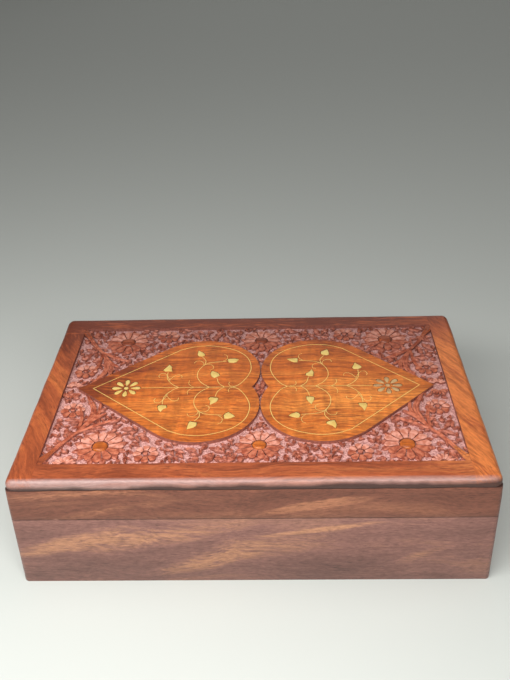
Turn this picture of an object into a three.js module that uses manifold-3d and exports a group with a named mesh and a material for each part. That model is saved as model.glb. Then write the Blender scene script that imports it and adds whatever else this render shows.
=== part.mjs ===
// A carved rosewood jewelry box with a lift-off lid, inlaid with brass leaves, petals and wire.
// Millimetres, +Z up. The origin is the middle of the underside, and the front faces -Y.
import * as THREE from "three";
import { mergeVertices } from "three/addons/utils/BufferGeometryUtils.js";
import Module from "manifold-3d";

const wasm = await Module();
wasm.setup();

// Box
const boxWidth = 305;
const boxDepth = 200;
const baseHeight = 54.4;
const lidWallHeight = 23.9;
const wallThickness = 10;
const bottomThickness = 5;
const bottomRebate = 5;
const cornerRadius = 3;
const easedEdge = 0.6;

// How far a cutter runs past what it cuts
const cutPast = 1;

// Lip on the base, which the lid's rebate drops over
const lipHeight = 3;
const lipThickness = 4.5;
const lipClearance = 0.5;

// Top board
const topThickness = 6.7;
const edgeRound = 5.2;
const edgeSteps = 4;
const cornerSteps = 2;

// Carved field
const frameWidth = 17.4;
const carvingDepth = 2.6;
const figureDrop = 0.4;
const patternShift = 4;

// Hearts left standing in the field
const lobeRadius = 41.5;
const lobeSpacing = 41;
const leftHeartLength = 128.6;
const rightHeartLength = 121;
const heartGap = 0.8;
const lobeSteps = 14;

// Flowers and leaves of the carving
const daisyRadius = 15.5;
const daisyFromEnd = 36.5;
const daisyFromSide = 19;
const middleDaisyRadius = 14;
const daisyPetals = 12;
const rosetteRadius = 7.5;
const rosettePetals = 6;
const rosetteFromDaisy = 30.5;
const rosetteFromSide = 11;
const endRosetteFromEnd = 11;
const endRosetteOffset = 24;
const leafLength = 11;
const leafWidth = 5.6;
const leafSpacing = 0.9;
const budShare = 0.6;
const stemWidth = 3;
const bladeWidth = 6;
const bladeTip = 0.8;
const petalDrop = 0.4;
const leafDrop = 0.2;
const bladeDrop = 0.1;
const figureRoot = 0.5;

// Brass inlay
const inlayThickness = 1.2;
const inlayGap = 0.35;
const wireWidth = 0.55;
const wireGap = 0.12;
const borderTipInset = 7;
const brassLeafLength = 8.2;
const brassLeafWidth = 6.2;
const brassLeafStandoff = 0.8;
const stemStandoff = 1;
const flowerShare = 0.735;
const brassFlowerRadius = 10;
const brassPetals = 8;
const brassPetalLength = 6.8;
const brassPetalWidth = 3.9;
const brassCentreRadius = 1.6;

// Levels and half sizes that follow from these
const lidWallTop = baseHeight + lidWallHeight;
const surface = lidWallTop + topThickness;
const ground = surface - carvingDepth;
const figureTop = surface - figureDrop;
const halfWidth = boxWidth / 2;
const halfDepth = boxDepth / 2;
const innerHalfWidth = halfWidth - wallThickness;
const innerHalfDepth = halfDepth - wallThickness;
const fieldHalfWidth = halfWidth - frameWidth;
const fieldHalfDepth = halfDepth - frameWidth;

const wallWood = new THREE.MeshStandardMaterial({ color: 0x8a5340, roughness: 0.5, metalness: 0 });
const lidWood = new THREE.MeshStandardMaterial({ color: 0xa4532b, roughness: 0.4, metalness: 0 });
const brass = new THREE.MeshStandardMaterial({ color: 0xdcc06a, roughness: 0.35, metalness: 1 });

// Solids

function solidOf(geometry) {
  const bare = geometry.index ? geometry : geometry.clone();
  bare.deleteAttribute("normal");
  bare.deleteAttribute("uv");
  const merged = mergeVertices(bare, 1e-4);
  return new wasm.Manifold(
    new wasm.Mesh({
      numProp: 3,
      vertProperties: new Float32Array(merged.attributes.position.array),
      triVerts: new Uint32Array(merged.index.array),
    }),
  );
}

function geometryOf(solid) {
  const mesh = solid.getMesh();
  const geometry = new THREE.BufferGeometry();
  geometry.setAttribute("position", new THREE.BufferAttribute(mesh.vertProperties, 3));
  geometry.setIndex(new THREE.BufferAttribute(mesh.triVerts, 1));
  geometry.computeVertexNormals();
  return geometry;
}

function block(low, high) {
  const size = high.map((value, i) => value - low[i]);
  const geometry = new THREE.BoxGeometry(...size);
  geometry.translate(...low.map((value, i) => value + size[i] / 2));
  return solidOf(geometry);
}

function plate(shape, low, high, curveSegments = 6) {
  const geometry = new THREE.ExtrudeGeometry(shape, {
    depth: high - low,
    bevelEnabled: false,
    curveSegments,
  });
  geometry.translate(0, 0, low);
  return solidOf(geometry);
}

function joined(solids) {
  return solids.reduce((whole, solid) => whole.add(solid));
}

function cutFrom(solid, cutters) {
  return cutters.reduce((left, cutter) => left.subtract(cutter), solid);
}

// A rectangle about the origin whose corners are rounded.
function roundedRectangle(width, depth, radius) {
  const x = width / 2;
  const y = depth / 2;
  const shape = new THREE.Shape();
  shape.moveTo(-x + radius, -y);
  shape.lineTo(x - radius, -y);
  shape.absarc(x - radius, -y + radius, radius, -Math.PI / 2, 0);
  shape.lineTo(x, y - radius);
  shape.absarc(x - radius, y - radius, radius, 0, Math.PI / 2);
  shape.lineTo(-x + radius, y);
  shape.absarc(-x + radius, y - radius, radius, Math.PI / 2, Math.PI);
  shape.lineTo(-x, -y + radius);
  shape.absarc(-x + radius, -y + radius, radius, Math.PI, Math.PI * 1.5);
  return shape;
}

// Walls: four boards round the base and four round the lid, butted at the corners

function centredBlock(x, y, low, high) {
  return block([-x, -y, low], [x, y, high]);
}

// A solid slab of the box's outline, its top and bottom edges slightly eased.
function outerSlab(low, high) {
  const geometry = new THREE.ExtrudeGeometry(roundedRectangle(boxWidth, boxDepth, cornerRadius), {
    depth: high - low - 2 * easedEdge,
    bevelThickness: easedEdge,
    bevelSize: easedEdge,
    bevelOffset: -easedEdge,
    bevelSegments: 1,
    curveSegments: cornerSteps,
  });
  geometry.translate(0, 0, low + easedEdge);
  return solidOf(geometry);
}

// The four base walls together, with the lip on their inner edge and a rebate for the bottom.
function baseFrame() {
  const lip = centredBlock(
    innerHalfWidth + lipThickness,
    innerHalfDepth + lipThickness,
    baseHeight / 2,
    baseHeight + lipHeight,
  );
  const rebate = centredBlock(
    innerHalfWidth + bottomRebate,
    innerHalfDepth + bottomRebate,
    -cutPast,
    bottomThickness,
  );
  const hollow = centredBlock(
    innerHalfWidth,
    innerHalfDepth,
    -cutPast,
    baseHeight + lipHeight + cutPast,
  );
  return cutFrom(outerSlab(0, baseHeight).add(lip), [hollow, rebate]);
}

// The four lid walls together, rebated to drop over the lip.
function lidFrame() {
  const rebate = centredBlock(
    innerHalfWidth + lipThickness + lipClearance,
    innerHalfDepth + lipThickness + lipClearance,
    baseHeight - cutPast,
    baseHeight + lipHeight + lipClearance,
  );
  const hollow = centredBlock(
    innerHalfWidth,
    innerHalfDepth,
    baseHeight - cutPast,
    lidWallTop + cutPast,
  );
  return cutFrom(outerSlab(baseHeight, lidWallTop), [hollow, rebate]);
}

// The share of those frames that belongs to one wall. Front and back run the full width.
function wallZone(side) {
  const low = -cutPast;
  const high = surface;
  const zones = {
    front: [[-boxWidth, -boxDepth], [boxWidth, -innerHalfDepth]],
    back: [[-boxWidth, innerHalfDepth], [boxWidth, boxDepth]],
    left: [[-boxWidth, -innerHalfDepth], [-innerHalfWidth, innerHalfDepth]],
    right: [[innerHalfWidth, -innerHalfDepth], [boxWidth, innerHalfDepth]],
  };
  const [from, to] = zones[side];
  return block([...from, low], [...to, high]);
}

function bottomPanel() {
  const x = innerHalfWidth + bottomRebate;
  const y = innerHalfDepth + bottomRebate;
  return centredBlock(x, y, 0, bottomThickness);
}

// Hearts: two circles and the lines that touch them from the tip.
// In a heart's own frame the lobes touch a = 0, the tip is at a = length, and b runs across.

const hearts = [
  { name: "left", direction: -1, length: leftHeartLength, vineShift: 0 },
  { name: "right", direction: 1, length: rightHeartLength, vineShift: 0.07 },
];

function heartPoint(heart, a, b) {
  const x = patternShift + heart.direction * (heartGap / 2 + a);
  return new THREE.Vector2(x, b);
}

// The angle between the heart's axis and its straight sides.
function sideAngle(heart) {
  const reach = heart.length - lobeRadius;
  const toCentre = Math.hypot(reach, lobeSpacing / 2);
  return Math.asin(lobeRadius / toCentre) + Math.atan(lobeSpacing / 2 / reach);
}

function heartOutline(heart, steps) {
  const centre = lobeSpacing / 2;
  const from = Math.PI / 2 - sideAngle(heart);
  const to = Math.PI + Math.asin(centre / lobeRadius);
  const lobe = [];
  for (let i = 0; i <= steps; i++) {
    const angle = from + ((to - from) * i) / steps;
    const a = lobeRadius + lobeRadius * Math.cos(angle);
    lobe.push([a, centre + lobeRadius * Math.sin(angle)]);
  }
  const upper = lobe.map(([a, b]) => heartPoint(heart, a, b));
  const lower = lobe.slice(0, -1).reverse().map(([a, b]) => heartPoint(heart, a, -b));
  return [heartPoint(heart, heart.length, 0), ...upper, ...lower];
}

// How far a point lies outside the nearer heart.
function heartDistance(x, y) {
  const distances = hearts.map((heart) => {
    const a = (x - patternShift) * heart.direction - heartGap / 2;
    const b = Math.abs(y);
    const angle = sideAngle(heart);
    const beyondLobe = a > lobeRadius + lobeRadius * Math.sin(angle);
    if (beyondLobe) {
      return (a - heart.length) * Math.sin(angle) + b * Math.cos(angle);
    }
    return Math.hypot(a - lobeRadius, Math.max(0, b - lobeSpacing / 2)) - lobeRadius;
  });
  return Math.min(...distances);
}

// Carving: flowers, corner stems, and leaves wherever the ground is free

// The four corners share one pattern, mirrored by the signs of x and y.
const corners = [-1, 1].flatMap((sx) => [-1, 1].map((sy) => [sx, sy]));

function cornerFlowers([sx, sy]) {
  const daisyX = fieldHalfWidth - daisyFromEnd;
  const daisyY = fieldHalfDepth - daisyFromSide;
  return [
    { x: sx * daisyX, y: sy * daisyY, radius: daisyRadius, petals: daisyPetals },
    {
      x: sx * (daisyX - rosetteFromDaisy),
      y: sy * (fieldHalfDepth - rosetteFromSide),
      radius: rosetteRadius,
      petals: rosettePetals,
    },
    {
      x: sx * (fieldHalfWidth - endRosetteFromEnd),
      y: sy * endRosetteOffset,
      radius: rosetteRadius,
      petals: rosettePetals,
    },
  ];
}

const middleFlowers = [-1, 1].map((sy) => ({
  x: patternShift,
  y: sy * (fieldHalfDepth - daisyFromSide),
  radius: middleDaisyRadius,
  petals: daisyPetals,
}));
const flowers = [...middleFlowers, ...corners.flatMap(cornerFlowers)];

// A line of points along a smooth curve, given as shares of the field's half sizes.
function fieldCurve(shares, [sx, sy], steps) {
  const points = shares.map(
    ([x, y]) => new THREE.Vector2(sx * x * fieldHalfWidth, sy * y * fieldHalfDepth),
  );
  return new THREE.SplineCurve(points).getPoints(steps);
}

// Each corner stem runs in from the frame past the daisy and opens into two long blades.
const stemRun = [[1, 0.97], [0.93, 0.78], [0.85, 0.56]];
const innerBlade = [[0.86, 0.6], [0.81, 0.44], [0.74, 0.34]];
const outerBlade = [[0.85, 0.58], [0.81, 0.31], [0.87, 0.08]];
const stemSteps = 3;
const bladeSteps = 5;

// A ribbon along a line of points, its width given by its share of the way along.
function ribbon(points, widthAt) {
  const left = [];
  const right = [];
  points.forEach((point, i) => {
    const before = points[Math.max(0, i - 1)];
    const after = points[Math.min(points.length - 1, i + 1)];
    const along = after.clone().sub(before).normalize();
    const half = widthAt(i / (points.length - 1)) / 2;
    const across = new THREE.Vector2(-along.y, along.x).multiplyScalar(half);
    left.push(point.clone().add(across));
    right.unshift(point.clone().sub(across));
  });
  return new THREE.Shape([...left, ...right]);
}

// A figure of the carving, standing on the ground from just below it.
function figure(shape, x, y, angle, drop) {
  const geometry = new THREE.ExtrudeGeometry(shape, {
    depth: figureTop - drop - ground + figureRoot,
    bevelEnabled: false,
    curveSegments: 2,
  });
  geometry.rotateZ(angle);
  geometry.translate(x, y, ground - figureRoot);
  return solidOf(geometry);
}

// A pointed oval lying along +X from its base at the origin.
function leafShape(length, width) {
  const shape = new THREE.Shape();
  shape.moveTo(0, 0);
  shape.quadraticCurveTo(length * 0.4, -width, length, 0);
  shape.quadraticCurveTo(length * 0.4, width, 0, 0);
  return shape;
}

function polar(distance, angle) {
  return new THREE.Vector2(distance * Math.cos(angle), distance * Math.sin(angle));
}

// The outline of a flower: petals with blunt points, parted by notches.
function flowerShape(radius, petals) {
  const half = Math.PI / petals;
  return new THREE.Shape(
    Array.from({ length: petals }, (_, i) => 2 * i * half).flatMap((angle) => [
      polar(radius * 0.5, angle - half),
      polar(radius * 0.86, angle - half * 0.72),
      polar(radius, angle),
      polar(radius * 0.86, angle + half * 0.72),
    ]),
  );
}

// The domed middle of a flower, up to the surface.
function button(x, y, radius, sides) {
  const geometry = new THREE.SphereGeometry(1, sides, 4);
  geometry.rotateX(Math.PI / 2);
  geometry.scale(radius, radius, surface - ground);
  geometry.translate(x, y, ground);
  return solidOf(geometry);
}

function carvedFlower({ x, y, radius, petals }) {
  const outline = flowerShape(radius, petals);
  return figure(outline, x, y, 0, petalDrop).add(button(x, y, radius * 0.37, petals));
}

function isFree(taken, { x, y, reach }) {
  const inField =
    Math.abs(x) < fieldHalfWidth - reach && Math.abs(y) < fieldHalfDepth - reach;
  const clear = taken.every((other) => Math.hypot(x - other.x, y - other.y) > other.reach + reach);
  return inField && clear && heartDistance(x, y) > reach;
}

// Leaves of one size in rings about each flower, kept where nothing is in the way.
function freeLeaves(taken, size) {
  const reach = (size * leafWidth + leafSpacing) / 2;
  const length = size * leafLength;
  const leaves = [];
  for (let ring = 0; ring < 5; ring++) {
    const lean = ring % 2 ? -0.8 : 0.8;
    for (const flower of flowers) {
      const radius = flower.radius + length * (0.45 + 0.7 * ring);
      const count = Math.floor((2 * Math.PI * radius) / (leafWidth / 2));
      for (let i = 0; i < count; i++) {
        const angle = (i * 2 * Math.PI) / count;
        const middle = polar(radius, angle).add(flower);
        const half = polar(length / 2, angle + lean);
        const body = [-0.5, 0.5].map((share) => {
          const { x, y } = middle.clone().addScaledVector(half, share);
          return { x, y, reach };
        });
        if (body.every((point) => isFree(taken, point))) {
          taken.push(...body);
          leaves.push({ base: middle.sub(half), heading: angle + lean, size });
        }
      }
    }
  }
  return leaves;
}

function carvedRelief() {
  const stems = corners.map((corner) => fieldCurve(stemRun, corner, stemSteps));
  const blades = corners.flatMap((corner) =>
    [innerBlade, outerBlade].map((run) => fieldCurve(run, corner, bladeSteps)),
  );
  const bladeAt = (share) => bladeTip + (bladeWidth - bladeTip) * Math.sin(Math.PI * share);
  const taken = flowers.map(({ x, y, radius }) => ({ x, y, reach: radius + leafSpacing / 2 }));
  taken.push(...[...stems, ...blades].flat().map(({ x, y }) => ({ x, y, reach: stemWidth / 2 })));
  const leaves = [...freeLeaves(taken, 1), ...freeLeaves(taken, budShare)];
  for (const side of [-1, 1]) {
    const base = new THREE.Vector2(patternShift, -side * leafSpacing);
    leaves.push({ base, heading: (side * Math.PI) / 2, size: 1 });
  }
  return joined([
    ...flowers.map(carvedFlower),
    ...stems.map((line) => figure(ribbon(line, () => stemWidth), 0, 0, 0, 0)),
    ...blades.map((line) => figure(ribbon(line, bladeAt), 0, 0, 0, bladeDrop)),
    ...leaves.map(({ base, heading, size }) => {
      const shape = leafShape(size * leafLength, size * leafWidth);
      return figure(shape, base.x, base.y, heading, leafDrop);
    }),
  ]);
}

// Brass: every piece is let into the top board, its face flush with the surface

// A spade-shaped leaf along +X, with its stalk end at the origin.
function brassLeafShape(length, width) {
  const half = width / 2;
  return new THREE.Shape(
    [
      [0, 0],
      [length * 0.04, -half * 0.8],
      [length * 0.3, -half],
      [length * 0.62, -half * 0.6],
      [length, 0],
      [length * 0.62, half * 0.6],
      [length * 0.3, half],
      [length * 0.04, half * 0.8],
    ].map(([x, y]) => new THREE.Vector2(x, y)),
  );
}

// A teardrop along +X whose round end is the outer one.
function brassPetalShape(inner, outer, width) {
  const round = outer - width / 2;
  const shape = new THREE.Shape();
  shape.moveTo(inner, 0);
  shape.lineTo(round, -width / 2);
  shape.absarc(round, 0, width / 2, -Math.PI / 2, Math.PI / 2);
  shape.lineTo(inner, 0);
  return shape;
}

// The corner points of a shape once it is turned and moved.
function placedPoints(shape, centre, angle) {
  return shape.extractPoints(2).shape.map((point) =>
    point.clone().rotateAround(new THREE.Vector2(), angle).add(centre),
  );
}

// A closed outline widened by an even margin.
function grown(points, margin) {
  const outward = THREE.ShapeUtils.isClockWise(points) ? -margin : margin;
  return points.map((point, i) => {
    const before = points[(i + points.length - 1) % points.length];
    const after = points[(i + 1) % points.length];
    const first = point.clone().sub(before).normalize();
    const second = after.clone().sub(point).normalize();
    const normal = new THREE.Vector2(first.y + second.y, -first.x - second.x);
    const stretch = 2 / Math.max(0.7, normal.lengthSq());
    return point.clone().addScaledVector(normal, outward * stretch);
  });
}

const inlayFoot = surface - inlayThickness;

function inlayPiece(points) {
  return plate(new THREE.Shape(points), inlayFoot, surface);
}

function inlayPocket(points) {
  return plate(new THREE.Shape(grown(points, inlayGap)), inlayFoot, surface + cutPast);
}

// Lines of the inlaid wire in shares of the lobe radius: along the heart's axis, then across it.
const borderRun = [
  [0.45, 0],
  [0.33, 0.1],
  [0.2, 0.36],
  [0.16, 0.62],
  [0.24, 0.93],
  [0.48, 1.18],
  [0.87, 1.32],
  [1.2, 1.3],
  [1.45, 1.19],
];
const innerScroll = [[0.86, 0], [1.02, 0.16], [1.09, 0.36], [1.05, 0.58], [0.91, 0.75], [0.6, 0.8]];
const outerScroll = [[1.38, 0], [1.5, 0.1], [1.6, 0.27], [1.61, 0.48]];
const nestStalk = [[0.6, 0], [0.7, 0.11], [0.745, 0.28]];
const branch = [[0.99, 0.67], [0.97, 0.82], [1.04, 0.95]];
const vineRuns = [innerScroll, outerScroll, nestStalk, branch];
const borderSteps = 13;
const stepsPerPoint = 1.2;

function vineCurve(heart, run, side) {
  return new THREE.SplineCurve(
    run.map(([a, b]) => {
      const along = (a + heart.vineShift) * lobeRadius;
      return heartPoint(heart, along, side * b * lobeRadius);
    }),
  );
}

function vineLines(heart) {
  const notch = borderRun[0][0] * lobeRadius + wireWidth + wireGap;
  const stemEnd = heart.length * flowerShare - brassFlowerRadius - stemStandoff;
  const lines = [[heartPoint(heart, notch, 0), heartPoint(heart, stemEnd, 0)]];
  for (const side of [1, -1]) {
    lines.push(
      ...vineRuns.map((run) => {
        const steps = Math.round(stepsPerPoint * (run.length - 1));
        return vineCurve(heart, run, side).getPoints(steps);
      }),
    );
  }
  return lines;
}

function vine(heart, gap, top) {
  const width = wireWidth + 2 * gap;
  return joined(vineLines(heart).map((line) => plate(ribbon(line, () => width), inlayFoot, top)));
}

// The wire inside the heart's edge: a smooth run round each lobe, then straight to the tip.
function borderLine(heart) {
  const onHeart = (side) => ([a, b]) => heartPoint(heart, a * lobeRadius, side * b * lobeRadius);
  const upper = new THREE.SplineCurve(borderRun.map(onHeart(1))).getPoints(borderSteps);
  const lower = new THREE.SplineCurve(borderRun.map(onHeart(-1))).getPoints(borderSteps);
  const tipInset = borderTipInset / Math.sin(sideAngle(heart));
  return [...upper, heartPoint(heart, heart.length - tipInset, 0), ...lower.slice(1).reverse()];
}

function border(heart, gap, top) {
  const line = borderLine(heart);
  const margin = wireWidth / 2 + gap;
  const outside = plate(new THREE.Shape(grown(line, margin)), inlayFoot, top);
  const inside = plate(new THREE.Shape(grown(line, -margin)), inlayFoot - cutPast, top + cutPast);
  return outside.subtract(inside);
}

// A brass leaf carries on from the end of its wire.
function leafOutlines(heart) {
  const shape = brassLeafShape(brassLeafLength, brassLeafWidth);
  return [1, -1].flatMap((side) =>
    vineRuns.map((run) => {
      const curve = vineCurve(heart, run, side);
      const along = curve.getTangent(1);
      const base = curve.getPoint(1).addScaledVector(along, inlayGap + brassLeafStandoff);
      return placedPoints(shape, base, along.angle());
    }),
  );
}

function flowerCentre(heart) {
  return heartPoint(heart, heart.length * flowerShare, 0);
}

function petalOutlines(heart) {
  const inner = brassFlowerRadius - brassPetalLength;
  const shape = brassPetalShape(inner, brassFlowerRadius, brassPetalWidth);
  return Array.from({ length: brassPetals }, (_, i) =>
    placedPoints(shape, flowerCentre(heart), (i * 2 * Math.PI) / brassPetals),
  );
}

function centreOutline(heart) {
  const sides = 12;
  const shape = new THREE.Shape(
    Array.from({ length: sides }, (_, i) => polar(brassCentreRadius, (i * 2 * Math.PI) / sides)),
  );
  return placedPoints(shape, flowerCentre(heart), 0);
}

// Top board

// The section of the board's long edges: square below, rounded over above.
function edgeSection(width) {
  const x = width / 2;
  const top = topThickness;
  const shape = new THREE.Shape();
  shape.moveTo(-x + easedEdge, 0);
  shape.lineTo(x - easedEdge, 0);
  shape.lineTo(x, easedEdge);
  shape.lineTo(x, top - edgeRound);
  shape.absarc(x - edgeRound, top - edgeRound, edgeRound, 0, Math.PI / 2);
  shape.lineTo(-x + edgeRound, top);
  shape.absarc(-x + edgeRound, top - edgeRound, edgeRound, Math.PI / 2, Math.PI);
  shape.lineTo(-x, easedEdge);
  shape.closePath();
  return shape;
}

function sectionSlab(width, length) {
  const geometry = new THREE.ExtrudeGeometry(edgeSection(width), {
    depth: length,
    bevelEnabled: false,
    curveSegments: edgeSteps,
  });
  geometry.translate(0, 0, -length / 2);
  geometry.rotateX(Math.PI / 2);
  geometry.translate(0, 0, lidWallTop);
  return geometry;
}

function topBlank() {
  const across = sectionSlab(boxWidth, boxDepth + 2 * cutPast);
  const along = sectionSlab(boxDepth, boxWidth + 2 * cutPast).rotateZ(Math.PI / 2);
  const outline = roundedRectangle(boxWidth, boxDepth, cornerRadius);
  const plan = plate(outline, lidWallTop - cutPast, surface + cutPast, cornerSteps);
  return solidOf(across).intersect(solidOf(along)).intersect(plan);
}

function fieldRecess() {
  const recess = centredBlock(fieldHalfWidth, fieldHalfDepth, ground, surface + cutPast);
  return cutFrom(
    recess,
    hearts.map((heart) => {
      const outline = new THREE.Shape(heartOutline(heart, lobeSteps));
      return plate(outline, ground - cutPast, surface + 2 * cutPast);
    }),
  );
}

function topBoard() {
  const carved = topBlank().subtract(fieldRecess()).add(carvedRelief());
  const pockets = hearts.flatMap((heart) => [
    ...leafOutlines(heart).map(inlayPocket),
    ...petalOutlines(heart).map(inlayPocket),
    inlayPocket(centreOutline(heart)),
    vine(heart, wireGap, surface + cutPast),
    border(heart, wireGap, surface + cutPast),
  ]);
  return cutFrom(carved, pockets);
}

// The box

const box = new THREE.Group();

function place(name, solid, material) {
  const mesh = new THREE.Mesh(geometryOf(solid), material);
  mesh.name = name;
  box.add(mesh);
}

for (const side of ["front", "back", "left", "right"]) {
  place(`base_${side}_wall`, baseFrame().intersect(wallZone(side)), wallWood);
  place(`lid_${side}_wall`, lidFrame().intersect(wallZone(side)), wallWood);
}
place("bottom_panel", bottomPanel(), wallWood);
place("lid_top_board", topBoard(), lidWood);

for (const heart of hearts) {
  place(`${heart.name}_border_wire`, border(heart, 0, surface), brass);
  place(`${heart.name}_vine_wire`, vine(heart, 0, surface), brass);
  place(`${heart.name}_flower_centre`, inlayPiece(centreOutline(heart)), brass);
  leafOutlines(heart).forEach((points, i) => {
    place(`${heart.name}_leaf_${i + 1}`, inlayPiece(points), brass);
  });
  petalOutlines(heart).forEach((points, i) => {
    place(`${heart.name}_petal_${i + 1}`, inlayPiece(points), brass);
  });
}

export default box;
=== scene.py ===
import bmesh
import bpy
import math
import random
from mathutils import Matrix, Vector, noise


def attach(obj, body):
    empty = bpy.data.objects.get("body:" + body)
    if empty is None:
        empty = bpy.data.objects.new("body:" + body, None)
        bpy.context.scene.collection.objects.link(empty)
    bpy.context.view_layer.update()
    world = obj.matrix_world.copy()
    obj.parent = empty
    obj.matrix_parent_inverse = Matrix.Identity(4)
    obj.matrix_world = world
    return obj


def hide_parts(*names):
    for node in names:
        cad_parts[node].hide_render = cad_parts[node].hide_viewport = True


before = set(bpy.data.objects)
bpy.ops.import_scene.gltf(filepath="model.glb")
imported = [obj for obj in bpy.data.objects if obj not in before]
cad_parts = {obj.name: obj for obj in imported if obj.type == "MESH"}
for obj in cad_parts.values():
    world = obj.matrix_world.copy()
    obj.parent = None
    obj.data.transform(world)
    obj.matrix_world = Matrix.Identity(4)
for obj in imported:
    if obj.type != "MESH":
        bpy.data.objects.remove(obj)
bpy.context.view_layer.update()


# Walls: four rosewood boards round the base and four round the lid, butted at the corners
# and glued. A lip inside the base's top edge holds the lid in place, and hand sanding has
# left the faces a little wavy. Sizes are in millimetres until a piece is finished.

box_width, box_depth = 305, 200
seam, lid_wall_top, board_top = 54.4, 78.3, 85.0
wall_thickness = 10
corner_radius = 3
bottom_rebate, bottom_thickness = 5, 5
lip_height, lip_thickness, lip_clearance = 3, 4.5, 0.5
corner_steps = 5
arris, arris_steps = 0.3, 2
past = 1
inner_x = box_width / 2 - wall_thickness
inner_y = box_depth / 2 - wall_thickness


def block(low, high):
    shape = bmesh.new()
    bmesh.ops.create_cube(shape, size=1)
    bmesh.ops.scale(shape, vec=[b - a for a, b in zip(low, high)], verts=shape.verts)
    bmesh.ops.translate(shape, vec=[(a + b) / 2 for a, b in zip(low, high)], verts=shape.verts)
    return shape


def centred_block(x, y, low, high):
    return block((-x, -y, low), (x, y, high))


def rounded(shape, edges, offset, segments):
    bmesh.ops.bevel(
        shape, geom=edges, offset=offset, segments=segments,
        affect="EDGES", profile=0.5, material=-1, clamp_overlap=True,
    )


def upright(edge):
    return abs(edge.verts[0].co.z - edge.verts[1].co.z) > 0.5


def rim(shape, height):
    """The edges round a flat end of the shape that lies at that height."""
    return [
        edge for edge in shape.edges
        if all(abs(vert.co.z - height) < 0.01 for vert in edge.verts)
        and any(abs(face.normal.z) < 0.5 for face in edge.link_faces)
    ]


def outward(shape):
    """Turns the faces of one closed shape outwards."""
    bmesh.ops.recalc_face_normals(shape, faces=shape.faces)
    if shape.calc_volume(signed=True) < 0:
        bmesh.ops.reverse_faces(shape, faces=shape.faces)
    return shape


def stock(name, shape):
    """Puts a shape on the bench as an object that can be cut."""
    mesh = bpy.data.meshes.new(name)
    shape.to_mesh(mesh)
    shape.free()
    piece = bpy.data.objects.new(name, mesh)
    bpy.context.collection.objects.link(piece)
    return piece


def work(piece, operation, *tools):
    """Cuts a piece with its tools, or joins them to it, and clears the tools away."""
    for tool in tools:
        cut = piece.modifiers.new("cut", "BOOLEAN")
        cut.operation = operation
        cut.solver = "MANIFOLD"
        cut.object = tool
    bpy.context.view_layer.update()
    shaped = piece.evaluated_get(bpy.context.evaluated_depsgraph_get())
    mesh = bpy.data.meshes.new_from_object(shaped)
    piece.modifiers.clear()
    piece.data = mesh
    for tool in tools:
        bpy.data.objects.remove(tool)
    return piece


def wall_slab(low, high):
    slab = centred_block(box_width / 2, box_depth / 2, low, high)
    rounded(slab, [edge for edge in slab.edges if upright(edge)], corner_radius, corner_steps)
    rounded(slab, rim(slab, low) + rim(slab, high), arris, arris_steps)
    return stock("slab", slab)


sanding_depth, sanding_reach = 0.7, 9
waves_along, waves_up, wave_strength = 0.045, 0.02, 1.9
back_waves, end_waves, right_waves = 40, 90, 20


def sanding(along, height):
    """How much the sander took at a place on a face, from 0 to 1."""
    wave = noise.noise(Vector((along * waves_along, 3.1, height * waves_up)))
    return 0.5 + 0.5 * max(-1, min(1, wave_strength * wave))


def sanded(shape):
    """Moves the outer faces in, most near the joint under the top board."""
    for vert in shape.verts:
        x, y, z = vert.co
        deepest = sanding_depth * max(0, 1 - abs(z - lid_wall_top) / sanding_reach) ** 0.7
        if abs(y) > inner_y + wall_thickness / 2:
            vert.co.y -= math.copysign(deepest * sanding(x + back_waves * (y > 0), z), y)
        if abs(x) > inner_x + wall_thickness / 2:
            vert.co.x -= math.copysign(deepest * sanding(y + end_waves + right_waves * (x > 0), z), x)


def sliced(shape, axis, start, end, spacing):
    """Adds evenly spaced cuts across an axis, so that long faces can bend."""
    count = round((end - start) / spacing)
    normal = Vector([float(i == axis) for i in range(3)])
    for i in range(1, count):
        bmesh.ops.bisect_plane(
            shape, geom=shape.verts[:] + shape.edges[:] + shape.faces[:],
            plane_co=normal * (start + (end - start) * i / count), plane_no=normal,
        )


def finished(piece, name, materials, smooth=35):
    """Scales a piece to metres, gives it its finish and name, and lets it ride on the box."""
    shape = bmesh.new()
    shape.from_mesh(piece.data)
    bmesh.ops.dissolve_degenerate(shape, dist=0.002, edges=shape.edges)
    bmesh.ops.transform(shape, matrix=Matrix.Scale(0.001, 4), verts=shape.verts)
    piece.data.materials.clear()
    for material in materials:
        piece.data.materials.append(material)
    shape.to_mesh(piece.data)
    shape.free()
    piece.data.shade_smooth()
    piece.data.set_sharp_from_angle(angle=math.radians(smooth))
    piece.name = piece.data.name = name
    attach(piece, "root")


def node(tree, kind, sockets=None, **settings):
    made = tree.nodes.new("ShaderNode" + kind)
    for key, value in settings.items():
        setattr(made, key, value)
    for socket, value in (sockets or {}).items():
        if isinstance(value, bpy.types.NodeSocket):
            tree.links.new(value, made.inputs[socket])
        else:
            made.inputs[socket].default_value = value
    return made


def ramp(tree, value, stops):
    made = node(tree, "ValToRGB", {"Fac": value})
    while len(made.color_ramp.elements) < len(stops):
        made.color_ramp.elements.new(0.5)
    for element, (position, colour) in zip(made.color_ramp.elements, stops):
        element.position = position
        element.color = (*colour, 1)
    return made.outputs["Color"]


def shade(tree, value, low, high, to_low=0.0, to_high=1.0):
    made = node(tree, "MapRange", {
        "Value": value, "From Min": low, "From Max": high, "To Min": to_low, "To Max": to_high,
    })
    return made.outputs["Result"]


def maths(tree, operation, first, second=0.0):
    made = node(tree, "Math", {0: first, 1: second}, operation=operation)
    return made.outputs["Value"]


def mixed(tree, share, first, second, blend="MIX"):
    made = node(tree, "Mix", data_type="RGBA", blend_type=blend)
    for index, value in ((0, share), (6, first), (7, second)):
        if isinstance(value, bpy.types.NodeSocket):
            tree.links.new(value, made.inputs[index])
        else:
            made.inputs[index].default_value = (*value, 1) if index else value
    return made.outputs[2]


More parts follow.
